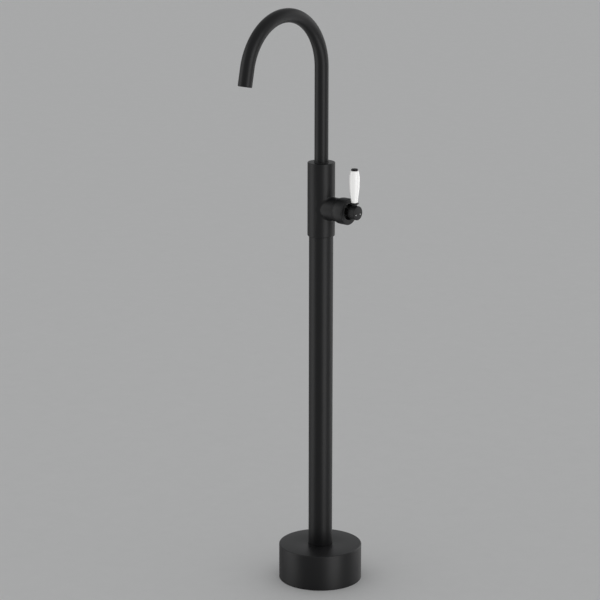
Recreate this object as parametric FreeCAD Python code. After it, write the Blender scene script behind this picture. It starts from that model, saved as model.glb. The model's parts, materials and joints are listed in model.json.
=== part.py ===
import FreeCAD, Part

import math
import os

# Floor standing bath filler, in millimetres.
# The origin is the middle of the base on the floor and +Z is up.
# The spout reaches towards -Y and the control points towards +X.

V = FreeCAD.Vector
UP = V(0, 0, 1)
OUT = V(1, 0, 0)
ALONG_Y = V(0, 1, 0)
AXIS = V(0, 0, 0)
TINY = 1e-6
FLAT = "flat"  # marks a chamfered corner of an outline

# Clearances
running_clearance = 0.05  # radial, between parts that turn or slide on each other
fixed_clearance = 0.02  # radial, between parts that are screwed or brazed together
seal_clearance = 0.03  # radial, between a rubber ring and the wall that it seals on
slip_clearance = 0.4  # radial, round a part that only passes through
end_clearance = 0.3  # axial, between parts that must not rub

# Floor plate, its gasket and the base cover
gasket_thickness = 2.0
plate_thickness = 8.0
plate_chamfer = 1.0
well_d = 64.0  # opening for the two supply hoses
anchor_inset = 12.0  # from the plate's edge to each anchor's axis
anchor_count = 4
anchor_hole_d = 9.0
cover_d = 155.0
cover_room = 6.0  # between the plate's edge and the cover's wall
cover_height = 68.0
cover_wall = 1.5
cover_edge_round = 2.0
cover_hole_chamfer = 0.5
cover_seal_width = 3.0
cover_seal_height = 3.0

# Inlet hub
hub_flange_d = 92.0
hub_flange_thickness = 8.0
hub_neck_d = 60.0
hub_neck_height = 22.0
hub_neck_round = 4.0
hub_edge_chamfer = 1.0
column_seat_chamfer = 1.5
hub_spigot_chamfer = 0.8
hub_spigot_length = 30.0
hub_screw_circle_d = 78.0
hub_screw_count = 4
inlet_thread_d = 18.6  # minor diameter of a half inch pipe thread
inlet_thread_depth = 14.0
strainer_seat_d = 15.0
strainer_thickness = 1.5
strainer_hole_d = 2.4
strainer_hole_pitch = 4.6

# Column and supply pipes
column_d = 45.0
column_wall = 1.5
column_socket_depth = 27.6
hub_spigot_wall = 1.35  # outside the pipes' seals
pipe_d = 12.0
pipe_wall = 1.0
pipe_socket_depth = 13.0
pipe_seal_width = 1.6
pipe_seal_height = 2.0
pipe_seal_inset = 4.0  # from the socket's mouth to the seal

# Valve body
body_bottom = 670.4
body_wall = 2.95  # round the column
body_height = 138.8
body_lower_round = 2.6
body_upper_round = 1.0
control_rise = 54.3  # from the body's lower end to the control's axis
boss_d = 42.0
boss_reach = 41.0
boss_blend = 3.0
mixed_way_d = 8.4
supply_way_d = 8.0

# Cartridge, from its seat outwards
cartridge_seat = 20.0
cartridge_bore_d = 36.0
cartridge_gasket_thickness = 1.0
cartridge_d = 35.4
cartridge_base_thickness = 4.0
cartridge_wall = 3.1
peg_d = 3.0
peg_length = 2.5
peg_circle_d = 28.0
peg_angle = 25.0  # below the level of the control's axis
disc_thickness = 3.5
moving_disc_d = 21.6
inlet_port_d = 6.0
inlet_port_side = 8.5
inlet_port_up = 4.5
outlet_port_d = 6.4
outlet_port_down = 5.5
disc_rest_drop = 1.7  # the moving disc's centre below the axis when the tap is shut
disc_pocket_depth = 1.8
disc_pocket_rim = 1.5
disc_pocket_top = 2.2
carrier_flange_thickness = 3.0
carrier_peg_d = 2.4
carrier_peg_length = 1.5
carrier_peg_side = 7.5
carrier_block_width = 13.8
carrier_block_height = 15.0
carrier_block_round = 3.0
socket_floor = 4.0
socket_d = 6.4
socket_lip = 2.5
stem_ball_d = 6.0
stem_neck_d = 4.0
stem_barrel_d = 9.0
stem_barrel_back = 4.0
stem_barrel_front = 6.0
stem_square = 7.6
stem_end_inset = 6.0  # from the hub's front face
stem_arm = 10.0  # from the pivot to the middle of the ball
tilt_range = 18.0
pivot_pin_d = 4.0
pivot_depth = 5.7  # from the guide ring's shoulder to the pivot
guide_neck_d = 20.7
guide_neck_length = 10.7
casing_shoulder = 1.5
collar_wall = 1.7
casing_chamfer = 0.8
guide_chamfer = 0.6
gasket_rim = 1.4  # of the gasket past the discs
nut_thickness = 8.0
nut_notch_pairs = 2
nut_notch_width = 3.0
nut_notch_depth = 2.5

# Control cap
cap_d = 48.6
cap_length = 25.2
cap_opening_d = 30.0
cap_front_round = 1.2
cap_mouth_chamfer = 0.6
spigot_d = 40.0
cap_seal_width = 1.6
cap_seal_depth = 0.9
cap_seal_inset = 4.0

# Lever
lever_hub_d = 26.2
lever_hub_front = 20.1  # past the cap's front
lever_hub_gap = 5.8  # from the cap's front to the hub, which leaves room to tilt
lever_hub_round = 1.0
lever_hub_chamfer = 0.5  # at the rear
lever_setback = 8.9  # from the hub's front face to the lever's axis
rod_d = 4.0
rod_grip_in_hub = 8.0
ferrule_foot_d = 10.0
ferrule_waist_d = 9.0
ferrule_flange_d = 16.0
ferrule_flange_thickness = 2.0
ferrule_height = 5.05  # above the hub's crown
ferrule_chamfer = 0.5
grip_washer_thickness = 0.5
grip_washer_d = 10.4
grip_length = 59.4
grip_foot_d = 11.8
grip_lower_d = 14.2
grip_lower_rise = 9.9
grip_upper_d = 17.4
grip_upper_rise = 22.4
grip_widest_d = 18.5
grip_widest_rise = 45.5
grip_top_d = 14.8
grip_cap_d = 12.6
grip_cap_height = 3.4
grip_cap_round = 1.4
dot_d = 1.8
dot_depth = 0.6
dot_rise = 0.1
dot_side = 6.2  # each way from the hub's axis
dot_drop = 2.7  # below that axis

# Spout
spout_d = 25.0
spout_wall = 1.5
spout_rise = 175.8  # from the body's top to the start of the bend
bend_r = 105.5
bend_sweep = 168.0
outlet_straight = 30.0
nipple_d = 27.0
nipple_length = 45.7  # below its spigot
nipple_head_gap = 1.0  # between the nipple's shoulder and the bush
nipple_bore_d = 16.0
nipple_spigot_length = 12.0
nipple_chamfer = 1.0
spout_seal_height = 2.4
spout_seal_width = 1.8
spout_seal_pitch = 6.0
spout_seal_inset = 5.0
swivel_range = 90.0  # each way
stop_rise = 8.3  # from the upper seal to the stop screw
stop_groove_depth = 1.5
bush_depth = 12.2
bush_wall = 1.2
bush_lip = 1.0
bush_chamfer = 0.4
sleeve_length = 12.0
sleeve_wall = 1.4
sleeve_lip_d = 24.0
sleeve_lip_thickness = 1.2
sleeve_lip_chamfer = 0.5
sleeve_ledge = 0.8
sleeve_ledge_thickness = 1.5
aerator_thickness = 6.0
aerator_hole_d = 2.2
aerator_hole_pitch = 3.4
aerator_washer_thickness = 1.8
aerator_washer_width = 2.0

# Fasteners
hub_screw_d = 5.0
hub_screw_head_d = 8.5
hub_screw_head_height = 5.0
hub_screw_key = 4.0
hub_screw_length = 14.0
grub_d = 5.0
grub_key = 2.5
grub_key_depth = 1.8
column_grub_length = 5.0
grub_recess = 0.3  # of a grub screw's head below the surface
column_grub_rise = 15.0
body_grub_d = 4.0
body_grub_rise = 13.0
body_grub_angle = 35.0  # each way from the back
body_grub_key = 2.0
stop_tip_d = 3.5
stop_tip_length = 2.6
lever_grub_inset = 3.8  # from the stem's end

# Levels up the column
plate_bottom = gasket_thickness
plate_top = plate_bottom + plate_thickness
flange_top = plate_top + hub_flange_thickness
column_bottom = flange_top + hub_neck_height
spigot_top = column_bottom + hub_spigot_length
thread_end = plate_top + inlet_thread_depth
strainer_bottom = thread_end + end_clearance
strainer_top = strainer_bottom + strainer_thickness
pipe_bottom = spigot_top - pipe_socket_depth
column_top = body_bottom + column_socket_depth
pipe_top = column_top + pipe_socket_depth
control_z = body_bottom + control_rise
body_top = body_bottom + body_height
bush_bottom = body_top - bush_depth
nipple_top = bush_bottom - nipple_head_gap
nipple_bottom = nipple_top - nipple_length
chamber_floor = nipple_bottom - end_clearance
stop_z = nipple_bottom + spout_seal_inset + spout_seal_pitch + spout_seal_height + stop_rise
bend_start = body_top + spout_rise

# Radii that several parts share
plate_r = cover_d / 2 - cover_wall - cover_room
anchor_circle_r = plate_r - anchor_inset
body_r = column_d / 2 + running_clearance + body_wall
column_bore_r = column_d / 2 - column_wall
hub_spigot_r = column_bore_r - running_clearance
supply_offset = hub_spigot_r - hub_spigot_wall - pipe_seal_width - pipe_d / 2
pipe_bore_r = pipe_d / 2 - pipe_wall
chamber_r = nipple_d / 2 + running_clearance
bush_r = spout_d / 2 + running_clearance + bush_wall
spout_bore_r = spout_d / 2 - spout_wall
cartridge_chamber_r = cartridge_d / 2 - cartridge_wall
guide_neck_r = guide_neck_d / 2
collar_r = guide_neck_r + running_clearance + collar_wall

# Places along the control's axis
disc_travel = stem_arm * math.sin(math.radians(tilt_range))
base_start = cartridge_seat + cartridge_gasket_thickness
casing_start = base_start + cartridge_base_thickness
moving_disc_start = casing_start + disc_thickness
carrier_start = moving_disc_start + disc_thickness
carrier_face = carrier_start + carrier_flange_thickness
ball_x = carrier_face + socket_floor + stem_ball_d / 2
block_end = ball_x + socket_lip
pivot_x = ball_x + stem_arm
guide_shoulder = pivot_x - pivot_depth
guide_front = guide_shoulder + guide_neck_length
casing_front = guide_shoulder + end_clearance + casing_shoulder
nut_front = casing_front + nut_thickness
spigot_end = nut_front
cap_front = boss_reach + cap_length
hub_rear = cap_front + lever_hub_gap
hub_front = cap_front + lever_hub_front
lever_x = hub_front - lever_setback
stem_end = hub_front - stem_end_inset
lever_grub_x = stem_end - lever_grub_inset

# Places up the lever
hub_crown = control_z + lever_hub_d / 2
ferrule_top = hub_crown + ferrule_height
grip_bottom = ferrule_top + grip_washer_thickness
grip_top = grip_bottom + grip_length
grip_cap_bottom = grip_top + grip_washer_thickness
rod_bottom = hub_crown - rod_grip_in_hub
rod_top = grip_cap_bottom + grip_cap_height / 2


def outline(corners):
    """A closed wire through corners (r, h).

    A third value is the radius that rounds a corner, and FLAT after it makes that a chamfer.
    """
    points = [V(corner[0], 0, corner[1]) for corner in corners]
    stretches = []
    for i, corner in enumerate(corners):
        here = points[i]
        if len(corner) < 3:
            stretches.append((here, None, here))
            continue
        back = (points[i - 1] - here).normalize()
        ahead = (points[(i + 1) % len(points)] - here).normalize()
        if FLAT in corner:
            stretches.append((here + back * corner[2], None, here + ahead * corner[2]))
            continue
        half = back.getAngle(ahead) / 2
        reach = corner[2] / math.tan(half)
        middle = here + (back + ahead).normalize() * (corner[2] / math.sin(half) - corner[2])
        stretches.append((here + back * reach, middle, here + ahead * reach))
    edges = []
    for i, (start, middle, end) in enumerate(stretches):
        if middle:
            edges.append(Part.Arc(start, middle, end).toShape())
        elif start.distanceToPoint(end) > TINY:
            edges.append(Part.LineSegment(start, end).toShape())
        onward = stretches[(i + 1) % len(stretches)][0]
        if end.distanceToPoint(onward) > TINY:
            edges.append(Part.LineSegment(end, onward).toShape())
    return Part.Wire(edges)


def turned(corners):
    """A part turned about the Z axis from its outline."""
    return Part.Face(outline(corners)).revolve(AXIS, UP, 360)


def rod(radius, low, high, x=0.0, y=0.0):
    """An upright cylinder between two levels."""
    return Part.makeCylinder(radius, high - low, V(x, y, low))


def ring(outer, inner, low, high, x=0.0, y=0.0):
    """An upright ring between two levels."""
    return rod(outer, low, high, x, y).cut(rod(inner, low, high, x, y))


def drum(radius, start, end, side=0.0, up=0.0):
    """A cylinder along the control's axis, or beside it."""
    return Part.makeCylinder(radius, end - start, V(start, side, control_z + up), OUT)


def drum_ring(outer, inner, start, end):
    """A ring about the control's axis."""
    return drum(outer, start, end).cut(drum(inner, start, end))


def on_control(shape):
    """Lays a part that was made about Z, from the floor up, along the control's axis."""
    placed = shape.copy()
    placed.Placement = FreeCAD.Placement(V(0, 0, control_z), FreeCAD.Rotation(ALONG_Y, 90))
    return placed


def control_box(start, end, half_width, low, high):
    """A block on the control's axis, from low to high about that axis."""
    corner = V(start, -half_width, control_z + low)
    return Part.makeBox(end - start, 2 * half_width, high - low, corner)


def turn(shape, angle, axis=UP, centre=AXIS):
    """A copy of a shape, turned about an axis."""
    copy = shape.copy()
    copy.rotate(centre, axis, angle)
    return copy


def around(shape, count, first=0.0):
    """Copies of a shape, evenly spaced about the Z axis."""
    return [turn(shape, first + 360.0 * i / count) for i in range(count)]


def hexagon(across, low, high):
    """An upright hexagonal bar, for the recess of a hexagon key."""
    corner_r = across / math.sqrt(3)
    points = [V(corner_r, 0, low)]
    for i in range(1, 7):
        points.append(turn_point(corner_r, 60 * i, low))
    return Part.Face(Part.makePolygon(points)).extrude(UP * (high - low))


def turn_point(radius, angle, level=0.0):
    """A point at a radius and an angle about Z."""
    turned_by = math.radians(angle)
    return V(radius * math.cos(turned_by), radius * math.sin(turned_by), level)


def grub(diameter, key, tip, head, tip_d=0.0, tip_length=0.0):
    """A grub screw along +X from its tip to its keyed head."""
    body = Part.makeCylinder(diameter / 2, head - tip - tip_length, V(tip + tip_length, 0, 0), OUT)
    if tip_length:
        body = body.fuse(Part.makeCylinder(tip_d / 2, tip_length, V(tip, 0, 0), OUT))
    recess = turn(hexagon(key, -head, -head + grub_key_depth), -90, ALONG_Y)
    return body.cut(recess).removeSplitter()


def supply_sides():
    """The Y places of the hot and the cold supply."""
    return (-supply_offset, supply_offset)


# Base


def anchor_bores(radius):
    """The bores for the floor anchors."""
    bore = rod(radius, 0, plate_top, x=anchor_circle_r)
    return around(bore, anchor_count, first=180.0 / anchor_count)


def floor_gasket():
    inner = well_d / 2 + slip_clearance
    gasket = ring(plate_r, inner, 0, plate_bottom)
    return gasket.cut(anchor_bores(anchor_hole_d / 2))


def floor_plate():
    plate = turned([
        (well_d / 2, plate_bottom),
        (plate_r, plate_bottom),
        (plate_r, plate_top - plate_chamfer),
        (plate_r - plate_chamfer, plate_top),
        (well_d / 2, plate_top),
    ])
    tapped = rod(hub_screw_d / 2 + fixed_clearance, plate_bottom, plate_top, x=hub_screw_circle_d / 2)
    return plate.cut(anchor_bores(anchor_hole_d / 2) + around(tapped, hub_screw_count))


def pipe_seal_groove(low, y):
    """The groove for one pipe's seal."""
    outer = pipe_d / 2 + pipe_seal_width
    return rod(outer, low, low + pipe_seal_height, y=y)


def inlet_hub():
    hub = turned([
        (0, plate_top),
        (hub_flange_d / 2, plate_top),
        (hub_flange_d / 2, flange_top, hub_edge_chamfer, FLAT),
        (hub_neck_d / 2, flange_top, hub_neck_round),
        (hub_neck_d / 2, column_bottom, column_seat_chamfer, FLAT),
        (hub_spigot_r, column_bottom),
        (hub_spigot_r, spigot_top, hub_spigot_chamfer, FLAT),
        (0, spigot_top),
    ])
    screw_way = rod(hub_screw_d / 2 + slip_clearance, plate_top, flange_top, x=hub_screw_circle_d / 2)
    cuts = around(screw_way, hub_screw_count)
    for y in supply_sides():
        cuts.append(rod(inlet_thread_d / 2, plate_top, thread_end, y=y))
        cuts.append(rod(strainer_seat_d / 2, plate_top, strainer_top, y=y))
        cuts.append(rod(pipe_bore_r, plate_top, spigot_top, y=y))
        cuts.append(rod(pipe_d / 2 + running_clearance, pipe_bottom, spigot_top, y=y))
        cuts.append(pipe_seal_groove(spigot_top - pipe_seal_inset - pipe_seal_height, y))
    cuts += column_grub_ways()
    return hub.cut(cuts)


def hub_screws():
    head_top = flange_top + hub_screw_head_height
    shank = rod(hub_screw_d / 2, flange_top - hub_screw_length, flange_top)
    head = rod(hub_screw_head_d / 2, flange_top, head_top)
    recess = hexagon(hub_screw_key, head_top - hub_screw_head_height / 2, head_top)
    screw = shank.fuse(head).cut(recess)
    screw.translate(V(hub_screw_circle_d / 2, 0, 0))
    return Part.makeCompound(around(screw, hub_screw_count))


def inlet_strainers():
    strainers = []
    for y in supply_sides():
        disc = rod(strainer_seat_d / 2 - seal_clearance, strainer_bottom, strainer_top, y=y)
        hole = rod(strainer_hole_d / 2, strainer_bottom, strainer_top, x=strainer_hole_pitch)
        holes = [rod(strainer_hole_d / 2, strainer_bottom, strainer_top)] + around(hole, 6)
        for each in holes:
            each.translate(V(0, y, 0))
        strainers.append(disc.cut(holes))
    return Part.makeCompound(strainers)


def supply_pipe(y):
    return ring(pipe_d / 2, pipe_bore_r, pipe_bottom, pipe_top, y=y)


def hot_supply_pipe():
    return supply_pipe(-supply_offset)


def cold_supply_pipe():
    return supply_pipe(supply_offset)


def pipe_seals():
    lower = spigot_top - pipe_seal_inset - pipe_seal_height
    upper = column_top + pipe_seal_inset
    inner = pipe_d / 2 + seal_clearance
    outer = pipe_d / 2 + pipe_seal_width - seal_clearance
    seals = []
    for y in supply_sides():
        for low in (lower, upper):
            seals.append(ring(outer, inner, low, low + pipe_seal_height, y=y))
    return Part.makeCompound(seals)


def column_grub_ways():
    """Tapped ways for the screws that lock the column on the hub."""
    way = Part.makeCylinder(grub_d / 2 + fixed_clearance, column_d, AXIS, OUT)
    way = way.cut(rod(column_d / 2 - column_grub_length, -grub_d, grub_d))
    way.translate(UP * (column_bottom + column_grub_rise))
    return around(way, 2)


def column_tube():
    tube = ring(column_d / 2, column_bore_r, column_bottom, column_top)
    return tube.cut(column_grub_ways())


def column_lock_screws():
    screw = grub(grub_d, grub_key, column_d / 2 - column_grub_length, column_d / 2 - grub_recess)
    screw.translate(UP * (column_bottom + column_grub_rise))
    return Part.makeCompound(around(screw, 2))


def base_cover():
    hole_r = column_d / 2 + slip_clearance
    inner_r = cover_d / 2 - cover_wall
    ceiling = cover_height - cover_wall
    return turned([
        (cover_d / 2, 0),
        (cover_d / 2, cover_height, cover_edge_round),
        (hole_r, cover_height, cover_hole_chamfer, FLAT),
        (hole_r, ceiling),
        (inner_r, ceiling, cover_edge_round - cover_wall),
        (inner_r, 0),
    ])


def cover_seal():
    ceiling = cover_height - cover_wall
    inner = column_d / 2 + seal_clearance
    return ring(inner + cover_seal_width, inner, ceiling - cover_seal_height, ceiling)


# Valve body


def body_grub_ways():
    """Tapped ways at the back for the screws that lock the body on the column."""
    way = Part.makeCylinder(body_grub_d / 2 + fixed_clearance, 2 * body_r, AXIS, OUT)
    way.translate(UP * (body_bottom + body_grub_rise))
    way = way.cut(rod(column_d / 2, body_bottom, column_top))
    return [turn(way, 90 + body_grub_angle * side) for side in (-1, 1)]


def port_places():
    """The hot, cold and mixed ports in the cartridge's seat: side, up and radius."""
    hot = (-inlet_port_side, inlet_port_up, inlet_port_d / 2)
    cold = (inlet_port_side, inlet_port_up, inlet_port_d / 2)
    mixed = (0.0, -outlet_port_down, outlet_port_d / 2)
    return [hot, cold, mixed]


def ports(start, end):
    """Three bores through the ports."""
    return [drum(radius, start, end, side, up) for side, up, radius in port_places()]


def peg_bores(radius, start, end):
    """Two bores for the cartridge's locating pegs."""
    bores = []
    for side in (-1, 1):
        place = turn_point(peg_circle_d / 2, -peg_angle)
        bores.append(drum(radius, start, end, side * place.x, place.y))
    return bores


def waterways():
    """The drilled ways from the pipes to the cartridge and from there to the spout."""
    supply_r = supply_way_d / 2
    inlet_r = inlet_port_d / 2
    ways = []
    for y in supply_sides():
        ways.append(rod(pipe_d / 2 + running_clearance, column_top, pipe_top, y=y))
        ways.append(pipe_seal_groove(column_top + pipe_seal_inset, y))
        ways.append(rod(supply_r, pipe_top, control_z + inlet_port_up + inlet_r, y=y))
    inlets = ports(-supply_r, cartridge_seat)[:2]
    mixed = ports(-mixed_way_d / 2, cartridge_seat)[2]
    riser = rod(mixed_way_d / 2, control_z - outlet_port_down - outlet_port_d / 2, chamber_floor)
    return ways + inlets + [mixed, riser]


def stop_way():
    """The tapped way at the back for the screw that stops the spout's swivel."""
    return Part.makeCylinder(grub_d / 2 + fixed_clearance, 2 * body_r, V(0, 0, stop_z), ALONG_Y)


def valve_body():
    barrel = turned([
        (0, body_bottom),
        (body_r, body_bottom, body_lower_round),
        (body_r, body_top, body_upper_round),
        (0, body_top),
    ])
    boss = drum(boss_d / 2, 0, boss_reach)
    outer = barrel.fuse(boss)
    blend = [edge for edge in outer.Edges if is_boss_joint(edge)]
    outer = outer.makeFillet(boss_blend, blend)
    outer = outer.fuse(drum(spigot_d / 2, cartridge_seat, spigot_end))
    cuts = [
        rod(column_d / 2 + running_clearance, body_bottom, column_top),
        rod(chamber_r, chamber_floor, body_top),
        rod(bush_r + fixed_clearance, bush_bottom, body_top),
        drum(cartridge_bore_d / 2, cartridge_seat, spigot_end),
        cap_seal_groove(),
        stop_way(),
    ]
    cuts += waterways()
    cuts += body_grub_ways()
    cuts += peg_bores(peg_d / 2 + fixed_clearance, cartridge_seat - peg_length, cartridge_seat)
    return outer.cut(cuts)


def is_boss_joint(edge):
    """Whether an edge is where the boss runs into the barrel."""
    box = edge.BoundBox
    inside = box.XMax < body_r + TINY and box.XMin > TINY
    level = box.ZMax < control_z + boss_d / 2 + TINY and box.ZMin > control_z - boss_d / 2 - TINY
    return inside and level and box.XLength > TINY


def cap_seal_groove():
    """The groove round the spigot for the cap's seal."""
    start = boss_reach + cap_seal_inset
    return drum_ring(boss_d / 2, spigot_d / 2 - cap_seal_depth, start, start + cap_seal_width)


def cap_seal():
    start = boss_reach + cap_seal_inset
    inner = spigot_d / 2 - cap_seal_depth + seal_clearance
    outer = spigot_d / 2 + running_clearance
    return drum_ring(outer, inner, start, start + cap_seal_width)


def body_lock_screws():
    screw = grub(body_grub_d, body_grub_key, column_d / 2, body_r - grub_recess)
    screw.translate(UP * (body_bottom + body_grub_rise))
    return Part.makeCompound([turn(screw, 90 + body_grub_angle * side) for side in (-1, 1)])


def spout_stop_screw():
    tip = nipple_d / 2 - stop_groove_depth + end_clearance
    screw = grub(grub_d, grub_key, tip, body_r - grub_recess, stop_tip_d, stop_tip_length)
    screw.translate(UP * stop_z)
    return turn(screw, 90)


def spout_bush():
    inner = spout_d / 2 + running_clearance
    return turned([
        (inner, bush_bottom),
        (bush_r, bush_bottom),
        (bush_r, body_top + bush_lip, bush_chamfer, FLAT),
        (inner, body_top + bush_lip),
    ])


# Cartridge


def cartridge_gasket():
    gasket = drum(cartridge_chamber_r + gasket_rim, cartridge_seat, base_start)
    pegs = peg_bores(peg_d / 2 + fixed_clearance, cartridge_seat, base_start)
    return gasket.cut(ports(cartridge_seat, base_start) + pegs)


def cartridge_base():
    base = drum(cartridge_d / 2, base_start, casing_start)
    base = base.cut(ports(base_start, casing_start))
    return base.fuse(peg_bores(peg_d / 2, cartridge_seat - peg_length, base_start))


def cartridge_casing():
    outer = cartridge_d / 2
    neck = guide_neck_r + running_clearance
    return on_control(turned([
        (cartridge_chamber_r, casing_start),
        (outer, casing_start),
        (outer, casing_front, casing_chamfer, FLAT),
        (collar_r, casing_front),
        (collar_r, nut_front, guide_chamfer, FLAT),
        (neck, nut_front),
        (neck, guide_shoulder + end_clearance),
        (cartridge_chamber_r, guide_shoulder + end_clearance),
    ]))


def fixed_disc():
    disc = drum(cartridge_chamber_r - fixed_clearance, casing_start, moving_disc_start)
    return disc.cut(ports(casing_start, moving_disc_start))


def carrier_pegs(radius):
    """The two pegs that carry the moving disc, in the shut position."""
    end = carrier_start
    start = end - carrier_peg_length
    up = -disc_rest_drop + moving_disc_d / 4
    return [drum(radius, start, end, side * carrier_peg_side, up) for side in (-1, 1)]


def moving_disc():
    start = moving_disc_start
    disc = drum(moving_disc_d / 2, start, carrier_start, up=-disc_rest_drop)
    pocket_r = moving_disc_d / 2 - disc_pocket_rim
    pocket = drum(pocket_r, start, start + disc_pocket_depth, up=-disc_rest_drop)
    top = disc_pocket_top - disc_rest_drop
    above = control_box(start, start + disc_pocket_depth, moving_disc_d, top, top + moving_disc_d)
    return disc.cut([pocket.cut(above)] + carrier_pegs(carrier_peg_d / 2 + fixed_clearance))


def disc_carrier():
    flange = drum(moving_disc_d / 2, carrier_start, carrier_face, up=-disc_rest_drop)
    half = carrier_block_height / 2
    block = control_box(carrier_start, block_end, carrier_block_width / 2, -half, half)
    corners = [edge for edge in block.Edges if edge.BoundBox.XLength > carrier_flange_thickness]
    block = block.makeFillet(carrier_block_round, corners)
    socket = drum(socket_d / 2, ball_x - stem_ball_d / 2 - end_clearance, block_end)
    return flange.fuse([block] + carrier_pegs(carrier_peg_d / 2)).cut(socket).removeSplitter()


def guide_ring():
    skirt_r = cartridge_chamber_r - running_clearance
    start = carrier_face + end_clearance
    ring_body = on_control(turned([
        (0, start),
        (skirt_r, start),
        (skirt_r, guide_shoulder),
        (guide_neck_r, guide_shoulder),
        (guide_neck_r, guide_front, guide_chamfer, FLAT),
        (0, guide_front),
    ]))
    half = carrier_block_height / 2
    slide_way = control_box(
        start,
        block_end + end_clearance,
        carrier_block_width / 2 + running_clearance,
        -half - end_clearance,
        half + disc_travel + end_clearance,
    )
    lean = math.radians(tilt_range)
    barrel = stem_barrel_d / 2 / math.cos(lean) + end_clearance
    nod = stem_barrel_front * math.tan(lean)
    width = stem_barrel_d / 2 + end_clearance
    outer_way = control_box(pivot_x, guide_front, width, -barrel - nod, barrel)
    inner_way = control_box(start, pivot_x, width, -barrel, barrel + nod)
    pin_way = pivot_bore(pivot_pin_d / 2 + fixed_clearance)
    return ring_body.cut([slide_way, outer_way, inner_way, pin_way])


def pivot_bore(radius, half_length=None):
    """A bore or a pin across the control's axis at the pivot."""
    half = half_length or guide_neck_d
    return Part.makeCylinder(radius, 2 * half, V(pivot_x, -half, control_z), ALONG_Y)


def pivot_pin():
    half = math.sqrt(guide_neck_r**2 - (pivot_pin_d / 2) ** 2) - end_clearance
    return pivot_bore(pivot_pin_d / 2, half)


def stem():
    ball = Part.makeSphere(stem_ball_d / 2, V(ball_x, 0, control_z))
    neck = drum(stem_neck_d / 2, ball_x, pivot_x)
    barrel = drum(stem_barrel_d / 2, pivot_x - stem_barrel_back, pivot_x + stem_barrel_front)
    square = control_box(pivot_x, stem_end, stem_square / 2, -stem_square / 2, stem_square / 2)
    body = ball.fuse([neck, barrel, square]).removeSplitter()
    return body.cut(pivot_bore(pivot_pin_d / 2 + running_clearance))


def cartridge_nut():
    outer = cartridge_bore_d / 2 - fixed_clearance
    inner = collar_r + end_clearance
    nut = drum_ring(outer, inner, casing_front, nut_front)
    reach = inner + nut_notch_depth
    start = nut_front - nut_notch_depth
    notch = control_box(start, nut_front, nut_notch_width / 2, -reach, reach)
    centre = V(0, 0, control_z)
    step = 180.0 / nut_notch_pairs
    return nut.cut([turn(notch, step * (i + 0.5), OUT, centre) for i in range(nut_notch_pairs)])


# Control cap and lever


def control_cap():
    outer = cap_d / 2
    rear = boss_d / 2
    bore = spigot_d / 2 + running_clearance + fixed_clearance
    step = spigot_end + end_clearance
    mouth = cap_opening_d / 2
    ball_angle = math.acos(rear / outer)
    crown = boss_reach + outer * math.sin(ball_angle)
    halfway = V(outer * math.cos(ball_angle / 2), 0, crown - outer * math.sin(ball_angle / 2))
    shoulder = Part.Arc(V(rear, 0, boss_reach), halfway, V(outer, 0, crown))
    inset = cap_front_round * (1 - math.sqrt(0.5))
    points = {
        "side": V(outer, 0, cap_front - cap_front_round),
        "side_arc": V(outer - inset, 0, cap_front - inset),
        "face": V(outer - cap_front_round, 0, cap_front),
        "lip": V(mouth + cap_mouth_chamfer, 0, cap_front),
        "mouth": V(mouth, 0, cap_front - cap_mouth_chamfer),
    }
    edges = [
        shoulder.toShape(),
        Part.LineSegment(V(outer, 0, crown), points["side"]).toShape(),
        Part.Arc(points["side"], points["side_arc"], points["face"]).toShape(),
        Part.LineSegment(points["face"], points["lip"]).toShape(),
        Part.LineSegment(points["lip"], points["mouth"]).toShape(),
        Part.LineSegment(points["mouth"], V(mouth, 0, step)).toShape(),
        Part.LineSegment(V(mouth, 0, step), V(bore, 0, step)).toShape(),
        Part.LineSegment(V(bore, 0, step), V(bore, 0, boss_reach)).toShape(),
        Part.LineSegment(V(bore, 0, boss_reach), V(rear, 0, boss_reach)).toShape(),
    ]
    return on_control(Part.Face(Part.Wire(edges)).revolve(AXIS, UP, 360))


def rod_way(radius):
    """The lever rod's way down into the hub."""
    return rod(radius, rod_bottom, hub_crown + ferrule_height, x=lever_x)


def lever_grub():
    """The grub screw under the hub, along -Z, tightened on the stem."""
    screw = grub(grub_d, grub_key, stem_square / 2 + fixed_clearance, lever_hub_d / 2 - 2 * grub_recess)
    screw = turn(screw, 90, ALONG_Y)
    screw.translate(V(lever_grub_x, 0, control_z))
    return screw


def dot_places():
    """The middles of the two index dots: side and up."""
    return ((-dot_side, -dot_drop), (dot_side, -dot_drop))


def lever_hub():
    hub = on_control(turned([
        (0, hub_rear),
        (lever_hub_d / 2, hub_rear, lever_hub_chamfer, FLAT),
        (lever_hub_d / 2, hub_front, lever_hub_round),
        (0, hub_front),
    ]))
    square = stem_square / 2 + running_clearance
    grub_way = Part.makeCylinder(
        grub_d / 2 + fixed_clearance, lever_hub_d, V(lever_grub_x, 0, control_z), -UP
    )
    cuts = [control_box(hub_rear, stem_end + end_clearance, square, -square, square)]
    cuts += [rod_way(rod_d / 2 + fixed_clearance), grub_way]
    for side, up in dot_places():
        cuts.append(drum(dot_d / 2 + fixed_clearance, hub_front - dot_depth, hub_front, side, up))
    return hub.cut(cuts)


def hub_grub_screw():
    return lever_grub()


def index_dots():
    dots = []
    for side, up in dot_places():
        dots.append(drum(dot_d / 2, hub_front - dot_depth, hub_front + dot_rise, side, up))
    return Part.makeCompound(dots)


def lever_ferrule():
    bore = rod_d / 2 + fixed_clearance
    flange = ferrule_flange_d / 2
    ferrule = turned([
        (bore, control_z),
        (ferrule_foot_d / 2, control_z),
        (ferrule_foot_d / 2, hub_crown),
        (ferrule_waist_d / 2, ferrule_top - ferrule_flange_thickness),
        (flange, ferrule_top - ferrule_flange_thickness, ferrule_chamfer, FLAT),
        (flange, ferrule_top, ferrule_chamfer, FLAT),
        (bore, ferrule_top),
    ])
    ferrule.translate(OUT * lever_x)
    return ferrule.cut(drum(lever_hub_d / 2, hub_rear, hub_front))


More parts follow.
